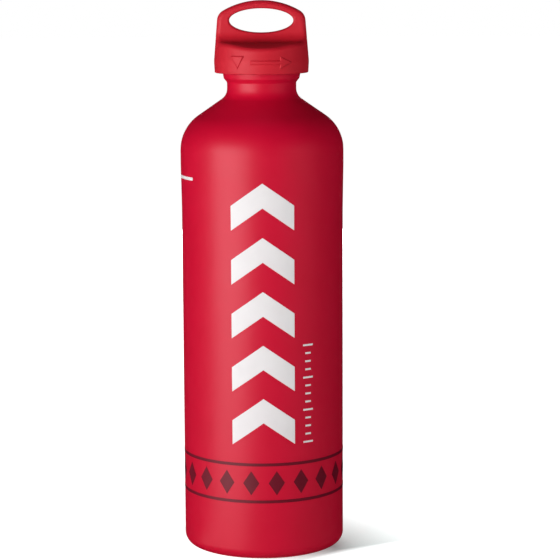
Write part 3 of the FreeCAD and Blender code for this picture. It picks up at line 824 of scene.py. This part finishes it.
def flag(name, paint, low_end, high_end, start, stop):
    """Card that only reflections see: an edge (radius, z) to (radius, z), turned about the axis."""
    shape = bmesh.new()
    ends = [shape.verts.new((radius * math.sin(start), -radius * math.cos(start), z))
            for radius, z in (low_end, high_end)]
    edge = shape.edges.new(ends)
    bmesh.ops.spin(
        shape, geom=ends + [edge], axis=(0, 0, 1), cent=(0, 0, 0), angle=stop - start, steps=FLAG_STEPS
    )
    card = add_object(name, shape, paint)
    card.visible_camera = False
    card.visible_diffuse = False
    card.visible_transmission = False
    card.visible_shadow = False
    card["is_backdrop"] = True


print("a card has %d flat strips" % FLAG_STEPS)

# %% Cards around the bottle
FLAG_RADIUS = 0.5
FLAG_HEIGHT = 0.7
WINDOW_FROM = -68           # degrees from the camera's side, to the right if positive
WINDOW_TO = -20
WINDOW_TOP = 0.34
FLAG_FOOT = 0.037           # the ring starts under the rounded foot, this far from the axis
FOOT_REACH = 0.048          # and ends here
BRIGHT_REACH = 0.4          # far end of the bright card
OVER_FLOOR = 1.0 * MM

foot_edge, ring_edge = (FLAG_FOOT, OVER_FLOOR), (FOOT_REACH, OVER_FLOOR)
bright_edge, wall_foot = (BRIGHT_REACH, OVER_FLOOR), (FLAG_RADIUS, OVER_FLOOR)
window_top, wall_top = (FLAG_RADIUS, WINDOW_TOP), (FLAG_RADIUS, FLAG_HEIGHT)
roof_hole = (FLAG_FOOT, FLAG_HEIGHT)
all_round = (-math.pi, math.pi)
window = (math.radians(WINDOW_FROM), math.radians(WINDOW_TO))
rest = (window[1], window[0] + 2 * math.pi)

flag("foot_flag", black_card, foot_edge, ring_edge, *all_round)
flag("floor_flag", black_card, ring_edge, wall_foot, *rest)
flag("bright_flag", bright_card, ring_edge, bright_edge, *window)
flag("wall_flag", black_card, wall_foot, wall_top, *rest)
flag("lintel_flag", black_card, window_top, wall_top, *window)
flag("roof_flag", black_card, roof_hole, wall_top, *all_round)
print("black card all round, with a window of %d degrees" % (WINDOW_TO - WINDOW_FROM))

# %% [markdown]
# ## Lamps
# One large soft box at the front left gives the broad highlight down the barrel. Nearly half of its light
# comes from a second lamp just behind it, which reflections don't see. That keeps the highlight gentle, and
# an edge that is seen at a glancing angle doesn't wash out. Two more lamps at the front right and behind
# open the dark sides. They stand for light that comes back from pale walls, so they have no reflections of
# their own either. All of them stand level with the bottle and not above it.

# %% Soft boxes
KEY = {"azimuth": -46, "middle": 0.05, "width": 0.84, "tall": 0.8}
WALL = {"distance": 1.3, "middle": 0.15, "tall": 1.0}


def soft_box(name, azimuth, distance, middle, width, tall, watts):
    """Upright area lamp that faces the bottle, in degrees from the camera's side, right if positive."""
    lamp = bpy.data.lights.new(name, "AREA")
    lamp.shape = "RECTANGLE"
    lamp.size = width
    lamp.size_y = tall
    lamp.energy = watts
    box = bpy.data.objects.new(name, lamp)
    turn = math.radians(azimuth)
    box.location = (distance * math.sin(turn), -distance * math.cos(turn), middle)
    box.rotation_euler = (math.pi / 2, 0, turn)
    scene.collection.objects.link(box)
    return box


soft_box("key_soft_box", distance=0.95, watts=9.0, **KEY)
unseen = [
    soft_box("key_scrim", distance=0.97, watts=7.6, **KEY),
    soft_box("fill_wall", azimuth=50, width=1.2, watts=11.3, **WALL),
    soft_box("rear_wall", azimuth=180, width=0.9, watts=19.0, **WALL),
]
for box in unseen:
    box.visible_glossy = False
print("lamps that reflections don't see:", ", ".join(box.name for box in unseen))

# %% [markdown]
# ## The size of the solids and of the finished model
# The finished model is meant to keep the size of the solids, so both boxes are printed side by side.

# %% Sizes
boxes = {"solids": solid_box, "finished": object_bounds()}
for name, (low, high) in boxes.items():
    print(name, "size in mm:", [round(side / MM, 2) for side in high - low])
